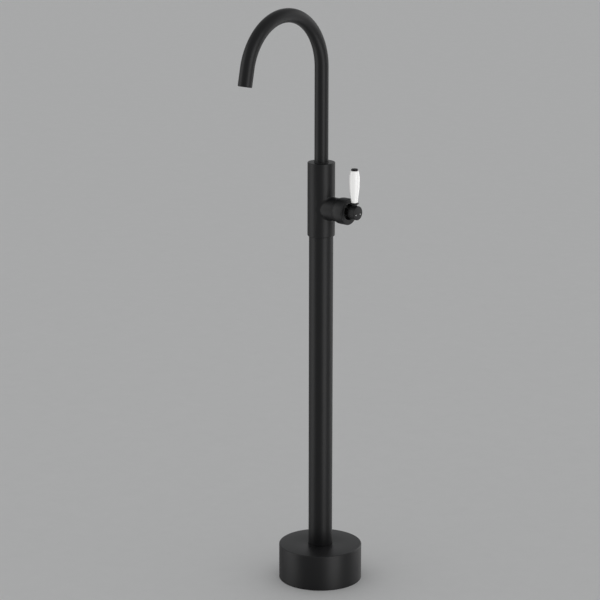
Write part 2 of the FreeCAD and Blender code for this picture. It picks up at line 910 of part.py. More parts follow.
def lever_rod():
    return rod(rod_d / 2, rod_bottom, rod_top, x=lever_x)


def grip_washers():
    inner = rod_d / 2 + slip_clearance / 2
    washers = []
    for low in (ferrule_top, grip_top):
        washers.append(ring(grip_washer_d / 2, inner, low, low + grip_washer_thickness, x=lever_x))
    return Part.makeCompound(washers)


def ceramic_grip():
    side = Part.BSplineCurve()
    side.interpolate([
        V(grip_foot_d / 2, 0, grip_bottom),
        V(grip_lower_d / 2, 0, grip_bottom + grip_lower_rise),
        V(grip_upper_d / 2, 0, grip_bottom + grip_upper_rise),
        V(grip_widest_d / 2, 0, grip_bottom + grip_widest_rise),
        V(grip_top_d / 2, 0, grip_top),
    ])
    bore = rod_d / 2 + slip_clearance / 2
    edges = [
        side.toShape(),
        Part.LineSegment(V(grip_top_d / 2, 0, grip_top), V(bore, 0, grip_top)).toShape(),
        Part.LineSegment(V(bore, 0, grip_top), V(bore, 0, grip_bottom)).toShape(),
        Part.LineSegment(V(bore, 0, grip_bottom), V(grip_foot_d / 2, 0, grip_bottom)).toShape(),
    ]
    grip = Part.Face(Part.Wire(edges)).revolve(AXIS, UP, 360)
    grip.translate(OUT * lever_x)
    return grip


def grip_cap():
    bore = rod_d / 2 + fixed_clearance
    top = grip_cap_bottom + grip_cap_height
    cap = turned([
        (bore, grip_cap_bottom),
        (grip_cap_d / 2, grip_cap_bottom),
        (grip_cap_d / 2, top, grip_cap_round),
        (0, top),
        (0, rod_top + fixed_clearance),
        (bore, rod_top + fixed_clearance),
    ])
    cap.translate(OUT * lever_x)
    return cap


# Spout


def seal_levels():
    """The lower levels of the nipple's two seals."""
    first = nipple_bottom + spout_seal_inset
    return (first, first + spout_seal_pitch)


def spout_nipple():
    outer = nipple_d / 2
    spigot = spout_bore_r - fixed_clearance
    bore = nipple_bore_d / 2
    nipple = turned([
        (bore, nipple_bottom),
        (outer, nipple_bottom, nipple_chamfer, FLAT),
        (outer, nipple_top),
        (spigot, nipple_top),
        (spigot, nipple_top + nipple_spigot_length),
        (bore, nipple_top + nipple_spigot_length),
    ])
    floor_r = outer - spout_seal_width
    cuts = [stop_groove()]
    for low in seal_levels():
        cuts.append(ring(outer + spout_seal_width, floor_r, low, low + spout_seal_height))
    return nipple.cut(cuts)


def stop_groove():
    """The arc groove whose ends meet the stop screw at the ends of the swivel."""
    floor_r = nipple_d / 2 - stop_groove_depth
    half_height = stop_tip_d / 2 + running_clearance
    past = math.degrees(math.asin((stop_tip_d / 2 + running_clearance) / floor_r))
    half_arc = swivel_range + past
    open_r = nipple_d / 2 + stop_groove_depth
    section = Part.Face(outline([
        (floor_r, stop_z - half_height),
        (open_r, stop_z - half_height),
        (open_r, stop_z + half_height),
        (floor_r, stop_z + half_height),
    ]))
    return turn(section, 90 - half_arc).revolve(AXIS, UP, 2 * half_arc)


def spout_seals():
    inner = nipple_d / 2 - spout_seal_width + seal_clearance
    outer = chamber_r - seal_clearance
    return Part.makeCompound([
        ring(outer, inner, low, low + spout_seal_height) for low in seal_levels()
    ])


def bend_point(angle):
    """A point on the spout's centre line in its bend."""
    reached = math.radians(angle)
    return V(0, bend_r * (math.cos(reached) - 1), bend_start + bend_r * math.sin(reached))


def outlet_direction():
    """The way that the water leaves the spout."""
    swept = math.radians(bend_sweep)
    return V(0, -math.sin(swept), math.cos(swept))


def outlet_point():
    return bend_point(bend_sweep) + outlet_direction() * outlet_straight


def spout_tube():
    rise = ring(spout_d / 2, spout_bore_r, nipple_top, bend_start)
    disc = Part.makeCircle(spout_d / 2, V(0, 0, bend_start), UP)
    hole = Part.makeCircle(spout_bore_r, V(0, 0, bend_start), UP)
    section = Part.Face([Part.Wire(disc), Part.Wire(hole)], "Part::FaceMakerCheese")
    bend = section.revolve(V(0, -bend_r, bend_start), OUT, bend_sweep)
    end = bend_point(bend_sweep)
    way = outlet_direction()
    straight = Part.makeCylinder(spout_d / 2, outlet_straight, end, way)
    straight = straight.cut(Part.makeCylinder(spout_bore_r, outlet_straight, end, way))
    return rise.fuse([bend, straight]).removeSplitter()


def at_outlet(shape):
    """Puts a part that was made about Z into the outlet, its +Z pointing up the tube."""
    placed = shape.copy()
    turned_to = FreeCAD.Rotation(UP, outlet_direction() * -1)
    placed.Placement = FreeCAD.Placement(outlet_point(), turned_to)
    return placed


def aerator_sleeve():
    outer = spout_bore_r - fixed_clearance
    inner = outer - sleeve_wall
    ledge = inner - sleeve_ledge
    return at_outlet(turned([
        (ledge, -sleeve_lip_thickness),
        (sleeve_lip_d / 2, -sleeve_lip_thickness, sleeve_lip_chamfer, FLAT),
        (sleeve_lip_d / 2, 0),
        (outer, 0),
        (outer, sleeve_length),
        (inner, sleeve_length),
        (inner, sleeve_ledge_thickness),
        (ledge, sleeve_ledge_thickness),
    ]))


def aerator_insert():
    radius = spout_bore_r - sleeve_wall - 2 * fixed_clearance
    low = sleeve_ledge_thickness
    high = low + aerator_thickness
    insert = rod(radius, low, high)
    near = rod(aerator_hole_d / 2, low, high, x=aerator_hole_pitch)
    far = rod(aerator_hole_d / 2, low, high, x=aerator_hole_pitch * 2)
    holes = [rod(aerator_hole_d / 2, low, high)] + around(near, 6) + around(far, 12)
    return at_outlet(insert.cut(holes))


def aerator_washer():
    outer = spout_bore_r - sleeve_wall - 2 * fixed_clearance
    low = sleeve_ledge_thickness + aerator_thickness
    return at_outlet(ring(outer, outer - aerator_washer_width, low, low + aerator_washer_thickness))


PARTS = [
    floor_gasket,
    floor_plate,
    inlet_hub,
    hub_screws,
    inlet_strainers,
    hot_supply_pipe,
    cold_supply_pipe,
    pipe_seals,
    column_tube,
    column_lock_screws,
    base_cover,
    cover_seal,
    valve_body,
    body_lock_screws,
    spout_stop_screw,
    spout_bush,
    cartridge_gasket,
    cartridge_base,
    cartridge_casing,
    fixed_disc,
    cartridge_nut,
    cap_seal,
    control_cap,
    guide_ring,
    pivot_pin,
    moving_disc,
    disc_carrier,
    stem,
    lever_hub,
    hub_grub_screw,
    index_dots,
    lever_ferrule,
    lever_rod,
    grip_washers,
    ceramic_grip,
    grip_cap,
    spout_nipple,
    spout_seals,
    spout_tube,
    aerator_sleeve,
    aerator_insert,
    aerator_washer,
]


def main():
    os.makedirs("parts", exist_ok=True)
    for make in PARTS:
        shape = make()
        if not shape.isValid():
            raise ValueError(make.__name__ + " is not a valid shape")
        shape.exportStep("parts/" + make.__name__ + ".step")
        print(make.__name__, len(shape.Solids), round(shape.Volume, 1))


main()
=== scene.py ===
import json
import math

import bmesh
import bpy
from bpy.props import FloatProperty, FloatVectorProperty, IntProperty, PointerProperty
from bpy.types import Operator, Panel, PropertyGroup
from mathutils import Matrix, Vector


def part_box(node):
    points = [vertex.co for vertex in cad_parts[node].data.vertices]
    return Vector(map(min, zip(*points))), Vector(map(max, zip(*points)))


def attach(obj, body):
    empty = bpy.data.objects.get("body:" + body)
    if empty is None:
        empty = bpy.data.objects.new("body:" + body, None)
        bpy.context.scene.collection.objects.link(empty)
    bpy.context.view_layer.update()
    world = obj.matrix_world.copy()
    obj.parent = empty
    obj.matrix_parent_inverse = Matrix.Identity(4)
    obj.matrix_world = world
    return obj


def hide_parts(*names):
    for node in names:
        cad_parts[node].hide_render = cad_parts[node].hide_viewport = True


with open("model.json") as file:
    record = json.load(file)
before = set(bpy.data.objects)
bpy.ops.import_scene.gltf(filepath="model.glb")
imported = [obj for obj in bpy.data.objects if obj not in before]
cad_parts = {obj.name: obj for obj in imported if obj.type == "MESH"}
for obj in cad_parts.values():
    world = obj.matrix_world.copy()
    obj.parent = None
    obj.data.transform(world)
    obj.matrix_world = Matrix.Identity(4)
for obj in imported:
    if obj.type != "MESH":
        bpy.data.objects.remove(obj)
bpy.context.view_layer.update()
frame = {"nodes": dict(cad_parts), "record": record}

bl_info = {
    "name": "Floor Standing Bath Filler",
    "version": (1, 0, 0),
    "blender": (4, 5, 0),
    "location": "View3D > Sidebar > Bath Filler",
    "description": "Models and finishes a floor standing bath filler round its CAD frame",
    "category": "Add Mesh",
}

MM = 0.001
X, Y, Z = range(3)
BACK = Vector((0, 1, 0))
DOWN = Vector((0, 0, -1))
UP = Vector((0, 0, 1))

QUARTER_TURN = math.pi / 2
SMOOTH_ANGLE = math.radians(30)
CORNER_SEGMENTS = 4  # of a rounded corner
BEND_STEPS = 96  # of the gooseneck's bend
HOLE_SIDES = 32
TOLERANCE = 0.01 * MM  # within which a point counts as on a ring
MERGE_DISTANCE = 0.001 * MM
FIT_GAP = 0.05 * MM  # round a piece that slides into another

# Radii of the holes that screws stand in
M4_HOLE = 2.02 * MM
M5_HOLE = 2.52 * MM

# Roundings of small edges, from the sharpest on
JOINT_EDGE = 0.1 * MM
HAIR_EDGE = 0.15 * MM
SHARP_EDGE = 0.3 * MM
EASED_EDGE = 0.4 * MM
SOFT_EDGE = 0.5 * MM

DOT_PROFILE = [
    # share of the dot's radius, place in front of the hub's end
    (1.0, -0.5 * MM),
    (1.0, 0.05 * MM),
    (0.7, 0.14 * MM),
    (0.35, 0.18 * MM),
]
GRIP_PROFILE = [
    # radius, share of the grip's length, rounding
    (5.9 * MM, 0.0, SOFT_EDGE),
    (7.1 * MM, 0.167),
    (8.0 * MM, 0.272),
    (8.7 * MM, 0.377),
    (9.3 * MM, 0.53),
    (9.6 * MM, 0.66),
    (9.6 * MM, 0.79),
    (8.65 * MM, 0.9),
    (7.4 * MM, 1.0, 0.6 * MM),
]


# Places taken from the frame


def low(node, axis):
    """A CAD node's lowest place along an axis."""
    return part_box(node)[0][axis]


def high(node, axis):
    """A CAD node's highest place along an axis."""
    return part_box(node)[1][axis]


def middle(node, axis):
    """The middle of a CAD node along an axis."""
    return (low(node, axis) + high(node, axis)) / 2


def radius(node, axis):
    """Half of a CAD node's size along an axis."""
    return (high(node, axis) - low(node, axis)) / 2


CONTROL_Z = middle("control_cap", Z)
LEVER_X = middle("lever_rod", X)
HUB_CROWN = CONTROL_Z + radius("lever_hub", Z)


class FillerSizes(PropertyGroup):
    """Sizes of the shells that the frame's boxes don't give."""

    sides: IntProperty(
        name="Sides", description="Sides of each large round piece", default=128, min=24
    )
    small_sides: IntProperty(
        name="Small sides", description="Sides of each small round piece", default=64, min=16
    )
    cover_radius: FloatProperty(
        name="Cover radius", description="Radius of the base cover", default=78.5 * MM, unit="LENGTH"
    )
    cover_wall: FloatProperty(
        name="Cover wall", description="Wall of the base cover", default=1.5 * MM, unit="LENGTH"
    )
    cover_round: FloatProperty(
        name="Cover edge",
        description="Radius of the base cover's upper edge",
        default=2.0 * MM,
        unit="LENGTH",
    )
    cover_gap: FloatProperty(
        name="Cover gap",
        description="Gap between the cover and the column",
        default=0.4 * MM,
        unit="LENGTH",
    )
    body_lower_round: FloatProperty(
        name="Body lower edge",
        description="Radius of the valve body's lower edge",
        default=2.6 * MM,
        unit="LENGTH",
    )
    body_upper_round: FloatProperty(
        name="Body upper edge",
        description="Radius of the valve body's upper edge",
        default=1.0 * MM,
        unit="LENGTH",
    )
    boss_radius: FloatProperty(
        name="Boss radius", description="Radius of the side boss", default=21.8 * MM, unit="LENGTH"
    )
    boss_blend: FloatProperty(
        name="Boss blend",
        description="Radius where the boss runs into the body",
        default=3.0 * MM,
        unit="LENGTH",
    )
    cap_radius: FloatProperty(
        name="Cap radius",
        description="Radius of the cap's drum and its shoulder",
        default=24.6 * MM,
        unit="LENGTH",
    )
    cap_opening: FloatProperty(
        name="Cap opening",
        description="Radius of the recess in the cap's front",
        default=15.0 * MM,
        unit="LENGTH",
    )
    cap_bore: FloatProperty(
        name="Cap bore",
        description="Radius of the cap's bore round the body's spigot",
        default=20.1 * MM,
        unit="LENGTH",
    )
    cap_step: FloatProperty(
        name="Cap recess depth",
        description="Depth of the recess in the cap",
        default=9.8 * MM,
        unit="LENGTH",
    )
    cap_front_round: FloatProperty(
        name="Cap front edge",
        description="Radius of the cap's front edge",
        default=1.2 * MM,
        unit="LENGTH",
    )
    hub_round: FloatProperty(
        name="Hub edge",
        description="Radius of the lever hub's front edge",
        default=1.0 * MM,
        unit="LENGTH",
    )
    tube_radius: FloatProperty(
        name="Spout radius", description="Radius of the spout tube", default=12.85 * MM, unit="LENGTH"
    )
    tube_wall: FloatProperty(
        name="Spout wall", description="Wall of the spout tube", default=1.85 * MM, unit="LENGTH"
    )
    column_wall: FloatProperty(
        name="Column wall", description="Wall of the column tube", default=1.5 * MM, unit="LENGTH"
    )
    bend_radius: FloatProperty(
        name="Bend radius",
        description="Radius of the gooseneck's centre line",
        default=105.5 * MM,
        unit="LENGTH",
    )
    bend_sweep: FloatProperty(
        name="Bend sweep",
        description="How far the gooseneck turns",
        default=math.radians(168),
        subtype="ANGLE",
    )
    outlet_straight: FloatProperty(
        name="Outlet straight",
        description="Straight end of the spout",
        default=30.0 * MM,
        unit="LENGTH",
    )
    outlet_lip: FloatProperty(
        name="Outlet lip",
        description="Thickness of the lip at the outlet",
        default=1.2 * MM,
        unit="LENGTH",
    )


class FillerFinishes(PropertyGroup):
    """Colours and roughness of the finishes."""

    coat_colour: FloatVectorProperty(
        name="Coat",
        description="Matte black powder coat",
        subtype="COLOR",
        default=(0.005, 0.005, 0.0054),
    )
    coat_roughness: FloatProperty(
        name="Coat roughness", description="Roughness of the powder coat", default=0.40, min=0, max=1
    )
    coat_edge_dulling: FloatProperty(
        name="Coat edge dulling",
        description="Roughness that the coat gains where it turns away",
        default=0.25,
        min=0,
        max=1,
    )
    glaze_colour: FloatVectorProperty(
        name="Glaze",
        description="White glaze of the grip",
        subtype="COLOR",
        default=(0.88, 0.875, 0.86),
    )
    glaze_roughness: FloatProperty(
        name="Glaze roughness", description="Roughness of the glaze", default=0.3, min=0, max=1
    )
    floor_colour: FloatVectorProperty(
        name="Floor", description="Pale floor", subtype="COLOR", default=(0.80, 0.797, 0.79)
    )


# Modelling helpers


def clear_selection():
    """Leaves edit mode and deselects everything."""
    if bpy.context.object and bpy.context.object.mode != "OBJECT":
        bpy.ops.object.mode_set(mode="OBJECT")
    bpy.ops.object.select_all(action="DESELECT")


def make_active(piece):
    """Selects one piece alone."""
    clear_selection()
    piece.select_set(True)
    bpy.context.view_layer.objects.active = piece


def settle(piece):
    """Moves a piece's place into its mesh, so that its object is at the origin."""
    make_active(piece)
    bpy.ops.object.transform_apply(location=True, rotation=True, scale=True)


def smooth(piece):
    """Smooth shading that keeps sharp corners."""
    make_active(piece)
    bpy.ops.object.shade_smooth_by_angle(angle=SMOOTH_ANGLE)


def apply_modifier(piece, kind, **settings):
    """Adds a modifier with its settings and applies it."""
    make_active(piece)
    modifier = piece.modifiers.new(kind.title(), kind)
    for name, value in settings.items():
        setattr(modifier, name, value)
    bpy.ops.object.modifier_apply(modifier=modifier.name)


def add_circle(name, circle_radius, height, sides):
    """A named ring of edges about Z, which a piece is extruded from."""
    clear_selection()
    bpy.ops.mesh.primitive_circle_add(vertices=sides, radius=circle_radius, location=(0, 0, height))
    piece = bpy.context.object
    piece.name = name
    piece.data.name = name
    return piece


def extrude_by(step):
    """In edit mode, extrudes what is selected by a step."""
    bpy.ops.mesh.extrude_region_move(TRANSFORM_OT_translate={"value": step})


def merge_and_orient():
    """In edit mode, merges doubled points and turns the faces outwards."""
    bpy.ops.mesh.select_all(action="SELECT")
    bpy.ops.mesh.remove_doubles(threshold=MERGE_DISTANCE)
    bpy.ops.mesh.normals_make_consistent(inside=False)


def select_ring(piece, ring_radius, height):
    """In edit mode, selects the edges that lie on one ring about Z."""
    shape = bmesh.from_edit_mesh(piece.data)
    for vert in shape.verts:
        vert.select = False
    for edge in shape.edges:
        ends = [piece.matrix_world @ vert.co for vert in edge.verts]
        edge.select = all(
            abs(end.z - height) < TOLERANCE and abs(math.hypot(end.x, end.y) - ring_radius) < TOLERANCE
            for end in ends
        )
    shape.select_flush_mode()
    bmesh.update_edit_mesh(piece.data)


def turned(name, rings, sides, joined=False):
    """A round piece about Z, extruded and resized from ring to ring of (radius, height, rounding).

    A joined piece is a closed section whose last ring meets its first. Any other has two filled ends.
    """
    start = rings[0]
    piece = add_circle(name, start[0], start[1], sides)
    bpy.ops.object.mode_set(mode="EDIT")
    bpy.ops.mesh.select_mode(type="EDGE")
    bpy.ops.mesh.select_all(action="SELECT")
    if not joined:
        bpy.ops.mesh.edge_face_add()
    route = rings + [start] if joined else rings
    for here, onward in zip(route, route[1:]):
        scale = onward[0] / here[0]
        extrude_by((0, 0, onward[1] - here[1]))
        bpy.ops.transform.resize(value=(scale, scale, 1))
    merge_and_orient()
    for ring_radius, height, *rounding in rings:
        if rounding:
            select_ring(piece, ring_radius, height)
            bpy.ops.mesh.bevel(
                offset=rounding[0], offset_type="OFFSET", segments=CORNER_SEGMENTS,
                affect="EDGES", clamp_overlap=False
            )
    bpy.ops.object.mode_set(mode="OBJECT")
    settle(piece)
    smooth(piece)
    return piece


def arc(sweep, steps):
    """Angles from 0 to a sweep, for the points of an arc."""
    return [sweep * i / steps for i in range(steps + 1)]


def along_control(piece):
    """Lays a piece that was made about Z along the control's axis."""
    piece.rotation_euler = (0, QUARTER_TURN, 0)
    piece.location = (0, 0, CONTROL_Z)
    settle(piece)


def on_lever(piece):
    """Moves a piece that was made about Z onto the lever's axis."""
    piece.location = (LEVER_X, 0, 0)
    settle(piece)


def drill(piece, hole_radius, place, direction, length):
    """Cuts a round hole into a piece, from a place in a direction."""
    clear_selection()
    turn = UP.rotation_difference(direction).to_euler()
    centre = place + direction.normalized() * (length / 2)
    bpy.ops.mesh.primitive_cylinder_add(
        vertices=HOLE_SIDES, radius=hole_radius, depth=length, location=centre, rotation=turn
    )
    cutter = bpy.context.object
    apply_modifier(piece, "BOOLEAN", operation="DIFFERENCE", solver="EXACT", object=cutter)
    bpy.data.objects.remove(cutter)


# Finishes

CLOUD_SCALE = 18.0  # of the broad cloudiness, per metre
DULLING_START = 0.15  # how far a wall has turned away, from 0 to 1
DULLING_END = 0.6


def add_group(name, inputs, outputs):
    """An empty shader group with named sockets; inputs are (name, kind, default)."""
    group = bpy.data.node_groups.new(name, "ShaderNodeTree")
    for label, kind, default in inputs:
        socket = group.interface.new_socket(name=label, in_out="INPUT", socket_type=kind)
        socket.default_value = default
    for label, kind in outputs:
        group.interface.new_socket(name=label, in_out="OUTPUT", socket_type=kind)
    return group, group.nodes.new("NodeGroupInput"), group.nodes.new("NodeGroupOutput")


def set_inputs(node, **values):
    """Sets a node's inputs by name, with an underscore for each space."""
    for label, value in values.items():
        node.inputs[label.replace("_", " ")].default_value = value


def math_node(tree, operation, first, second=0.0):
    """A Math node whose inputs are sockets or plain numbers."""
    node = tree.nodes.new("ShaderNodeMath")
    node.operation = operation
    for socket, value in zip(node.inputs, (first, second)):
        if isinstance(value, bpy.types.NodeSocket):
            tree.links.new(value, socket)
        else:
            socket.default_value = value
    return node.outputs[0]


def grain_group():
    """Fine grain with broad cloudiness: varies a tone and a roughness, and gives a height."""
    group, given, result = add_group(
        "surface_grain",
        [
            ("Vector", "NodeSocketVector", (0, 0, 0)),
            ("Colour", "NodeSocketColor", (0.5, 0.5, 0.5, 1)),
            ("Roughness", "NodeSocketFloat", 0.5),
            ("Grain Scale", "NodeSocketFloat", 3000.0),
            ("Tone Change", "NodeSocketFloat", 0.1),
            ("Roughness Change", "NodeSocketFloat", 0.05),
        ],
        [
            ("Colour", "NodeSocketColor"),
            ("Roughness", "NodeSocketFloat"),
            ("Height", "NodeSocketFloat"),
        ],
    )
    fine = group.nodes.new("ShaderNodeTexNoise")
    set_inputs(fine, Detail=2.0)
    group.links.new(given.outputs["Vector"], fine.inputs["Vector"])
    group.links.new(given.outputs["Grain Scale"], fine.inputs["Scale"])
    cloud = group.nodes.new("ShaderNodeTexNoise")
    set_inputs(cloud, Scale=CLOUD_SCALE, Detail=3.0)
    group.links.new(given.outputs["Vector"], cloud.inputs["Vector"])
    mixed = math_node(group, "ADD", fine.outputs[0], cloud.outputs[0])
    centred = math_node(group, "SUBTRACT", mixed, 1.0)  # each noise is about a half on average
    tone = math_node(group, "MULTIPLY", centred, given.outputs["Tone Change"])
    brighter = math_node(group, "ADD", tone, 1.0)
    shade = group.nodes.new("ShaderNodeVectorMath")
    shade.operation = "SCALE"
    group.links.new(given.outputs["Colour"], shade.inputs[0])
    group.links.new(brighter, shade.inputs["Scale"])
    group.links.new(shade.outputs[0], result.inputs["Colour"])
    drift = math_node(group, "MULTIPLY", centred, given.outputs["Roughness Change"])
    rough = math_node(group, "ADD", drift, given.outputs["Roughness"])
    group.links.new(rough, result.inputs["Roughness"])
    group.links.new(fine.outputs[0], result.inputs["Height"])


def turning_group():
    """Fine rings that a lathe leaves, with a little uneven spacing."""
    group, given, result = add_group(
        "turning_marks",
        [("Vector", "NodeSocketVector", (0, 0, 0)), ("Ring Scale", "NodeSocketFloat", 900.0)],
        [("Height", "NodeSocketFloat")],
    )
    wave = group.nodes.new("ShaderNodeTexWave")
    wave.wave_type = "BANDS"
    wave.bands_direction = "Z"
    set_inputs(wave, Distortion=0.6, Detail=2.0)
    group.links.new(given.outputs["Vector"], wave.inputs["Vector"])
    group.links.new(given.outputs["Ring Scale"], wave.inputs["Scale"])
    group.links.new(wave.outputs["Fac"], result.inputs["Height"])


def use_group(tree, name, place):
    """A node that holds a shared group and reads a place on the object."""
    node = tree.nodes.new("ShaderNodeGroup")
    node.node_tree = bpy.data.node_groups[name]
    tree.links.new(place, node.inputs["Vector"])
    return node


def finish_material(name, colour, roughness, metallic=0.0, grain=3000.0, tone=0.1, drift=0.05,
                    bump=0.1, depth=0.02 * MM, turned_rings=False, **shader_values):
    """A material whose grain, tone and bump come from the shared groups."""
    material = bpy.data.materials.new(name)
    material.use_nodes = True
    tree = material.node_tree
    shader = tree.nodes["Principled BSDF"]
    place = tree.nodes.new("ShaderNodeTexCoord").outputs["Object"]
    surface = use_group(tree, "surface_grain", place)
    set_inputs(surface, Colour=(*colour, 1), Roughness=roughness, Grain_Scale=grain,
               Tone_Change=tone, Roughness_Change=drift)
    tree.links.new(surface.outputs["Colour"], shader.inputs["Base Color"])
    tree.links.new(surface.outputs["Roughness"], shader.inputs["Roughness"])
    height = surface.outputs["Height"]
    if turned_rings:
        height = use_group(tree, "turning_marks", place).outputs["Height"]
    relief = tree.nodes.new("ShaderNodeBump")
    set_inputs(relief, Strength=bump, Distance=depth)
    tree.links.new(height, relief.inputs["Height"])
    tree.links.new(relief.outputs["Normal"], shader.inputs["Normal"])
    set_inputs(shader, Metallic=metallic, **shader_values)
    return material


def dull_edges(material, added_roughness):
    """Dulls the gloss of upright walls where they turn away from the viewer; flat tops keep it."""
    tree = material.node_tree
    shader = tree.nodes["Principled BSDF"]
    surface = shader.inputs["Roughness"].links[0].from_socket
    turned_away = tree.nodes.new("ShaderNodeLayerWeight")
    set_inputs(turned_away, Blend=0.5)
    added = tree.nodes.new("ShaderNodeMapRange")
    set_inputs(added, From_Min=DULLING_START, From_Max=DULLING_END, To_Min=0.0, To_Max=added_roughness)
    tree.links.new(turned_away.outputs["Facing"], added.inputs["Value"])
    geometry = tree.nodes.new("ShaderNodeNewGeometry")
    facing = tree.nodes.new("ShaderNodeSeparateXYZ")
    tree.links.new(geometry.outputs["Normal"], facing.inputs["Vector"])
    lying = math_node(tree, "ABSOLUTE", facing.outputs["Z"])
    upright = math_node(tree, "SUBTRACT", 1.0, lying)
    gained = math_node(tree, "MULTIPLY", added.outputs["Result"], upright)
    dulled = math_node(tree, "ADD", surface, gained)
    tree.links.new(dulled, shader.inputs["Roughness"])


def make_materials(finishes):
    """Every finish on the object."""
    grain_group()
    turning_group()
    coat = tuple(finishes.coat_colour)
    glaze = tuple(finishes.glaze_colour)
    powder = finish_material("matte_black_coat", coat, finishes.coat_roughness, grain=2600, tone=0.25,
                             bump=0.15, depth=0.03 * MM, Specular_IOR_Level=0.27)
    dull_edges(powder, finishes.coat_edge_dulling)
    finish_material("white_glazed_grip", glaze, finishes.glaze_roughness, grain=260, tone=0.03,
                    drift=0.03, bump=0.03, Coat_Weight=0.3, Coat_Roughness=0.12)
    finish_material("pale_enamel_dot", (0.62, 0.62, 0.62), roughness=0.3, grain=4000)
    finish_material("moulded_rubber", (0.02, 0.02, 0.02), roughness=0.75, grain=1800, bump=0.25)
    finish_material("zinc_plated_steel", (0.55, 0.56, 0.58), roughness=0.38, metallic=1.0, grain=700,
                    tone=0.12, drift=0.12)
    finish_material("cast_brass_metal", (0.72, 0.53, 0.25), roughness=0.34, metallic=1.0, grain=900,
                    tone=0.12, drift=0.1)
    finish_material("blackened_brass", (0.02, 0.019, 0.018), roughness=0.55, metallic=0.4,
                    turned_rings=True, bump=0.2)
    finish_material("stainless_steel", (0.6, 0.6, 0.6), roughness=0.3, metallic=1.0, grain=1500,
                    drift=0.1)
    finish_material("black_oxide_steel", (0.03, 0.03, 0.03), roughness=0.4, metallic=0.5, grain=2500)
    finish_material("drawn_copper", (0.78, 0.40, 0.26), roughness=0.28, metallic=1.0, grain=500,
                    drift=0.1)
    finish_material("black_acetal", (0.012, 0.012, 0.012), roughness=0.5, grain=2500,
                    Specular_IOR_Level=0.3)
    finish_material("cartridge_plastic", (0.72, 0.72, 0.70), roughness=0.5, grain=1500)
    finish_material("grey_acetal", (0.36, 0.36, 0.38), roughness=0.42, grain=1500)
    finish_material("lapped_alumina", (0.86, 0.85, 0.82), roughness=0.3, grain=2200, bump=0.05)


SLOT_FINISHES = {
    "black_rubber": "moulded_rubber",
    "zinc_steel": "zinc_plated_steel",
    "cast_brass": "cast_brass_metal",
    "dark_brass": "blackened_brass",
    "stainless": "stainless_steel",
    "dark_screws": "black_oxide_steel",
    "copper": "drawn_copper",
    "black_plastic": "black_acetal",
    "white_plastic": "cartridge_plastic",
    "grey_plastic": "grey_acetal",
    "disc_ceramic": "lapped_alumina",
    "pale_enamel": "pale_enamel_dot",
    "white_glaze": "white_glazed_grip",
    "matte_black": "matte_black_coat",
}
RECESS_SHADE_FINISHES = {
    # painted shade: the rims that show in the cap's recess are finished black instead of their own
    # plastic colour, so that the recess is dark all over
    "guide_ring": "black_acetal",
    "cartridge_nut": "black_acetal",
    "cartridge_casing": "black_acetal",
}


def finish_frame_nodes():
    """Gives each CAD node the finish of its slot, or black for the rims in the cap's recess, which
    paints the recess's shade.
    """
    slots = {part["node"]: part["material_slot"] for part in frame["record"]["subparts"]}
    for name, node in frame["nodes"].items():
        # the rims in the cap's recess take black, as painted shade
        finish = RECESS_SHADE_FINISHES.get(name, SLOT_FINISHES[slots[name]])
        node.data.materials.clear()
        node.data.materials.append(bpy.data.materials[finish])


# Pieces


def put_on(piece, body, slot_name, node):
    """Gives a piece its slot's finish, rides it on its body and lets it stand for a CAD node."""
    piece.data.materials.clear()
    piece.data.materials.append(bpy.data.materials[SLOT_FINISHES[slot_name]])
    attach(piece, body)
    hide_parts(node)


def base_cover(sizes):
    """The open round cover on the floor."""
    outer = sizes.cover_radius
    inner = outer - sizes.cover_wall
    inner_round = 1.0 * MM
    hole = radius("column_tube", X) + sizes.cover_gap
    floor = low("base_cover", Z)
    top = high("base_cover", Z)
    ceiling = top - sizes.cover_wall
    rings = [
        (outer, floor, SHARP_EDGE),
        (outer, top, sizes.cover_round),
        (hole, top, EASED_EDGE),
        (hole, ceiling),
        (inner, ceiling, inner_round),
        (inner, floor),
    ]
    piece = turned("base_cover_shell", rings, sizes.sides * 2, joined=True)
    put_on(piece, "column_assembly", "matte_black", "base_cover")


def column(sizes):
    """The plain column tube, open at both ends."""
    outer = radius("column_tube", X)
    inner = outer - sizes.column_wall
    foot = low("column_tube", Z)
    top = high("column_tube", Z)
    rings = [(outer, foot, SHARP_EDGE), (outer, top), (inner, top), (inner, foot)]
    piece = turned("column_shell", rings, sizes.sides, joined=True)
    put_on(piece, "column_assembly", "matte_black", "column_tube")


def barrel(sizes):
    """The valve body's barrel, with its sockets for the column and the spout's bush."""
    outer = radius("valve_body", Y)
    bottom = low("valve_body", Z)
    top = high("valve_body", Z)
    socket = radius("column_tube", X) + FIT_GAP
    mouth = radius("spout_bush", X)
    rings = [
        (socket, bottom),
        (outer, bottom, sizes.body_lower_round),
        (outer, top, sizes.body_upper_round),
        (mouth, top, SHARP_EDGE),
        (mouth, low("spout_bush", Z)),
        (socket, high("column_tube", Z)),
    ]
    return turned("valve_body_shell", rings, sizes.sides, joined=True)


def boss(sizes):
    """The side boss, flared where it runs into the barrel."""
    barrel_radius = radius("valve_body", Y)
    blend = sizes.boss_blend
    root = 5 * MM  # how far inside the barrel's side the boss starts
    rings = [(sizes.boss_radius + blend, barrel_radius - root)]
    for angle in reversed(arc(QUARTER_TURN, steps=8)):
        flare = sizes.boss_radius + blend * (1 - math.cos(angle))
        rings.append((flare, barrel_radius + blend * (1 - math.sin(angle))))
    rings.append((sizes.boss_radius, low("control_cap", X), JOINT_EDGE))
    piece = turned("boss", rings, sizes.sides)
    along_control(piece)
    follow_barrel(piece, barrel_radius, barrel_radius + blend + TOLERANCE)
    return piece


def follow_barrel(piece, barrel_radius, limit):
    """Draws the boss's inner rings back along X, so that they follow the barrel's round side."""
    for vert in piece.data.vertices:
        if vert.co.x < limit:
            side = min(abs(vert.co.y), barrel_radius)
            vert.co.x -= barrel_radius - math.sqrt(barrel_radius**2 - side**2)


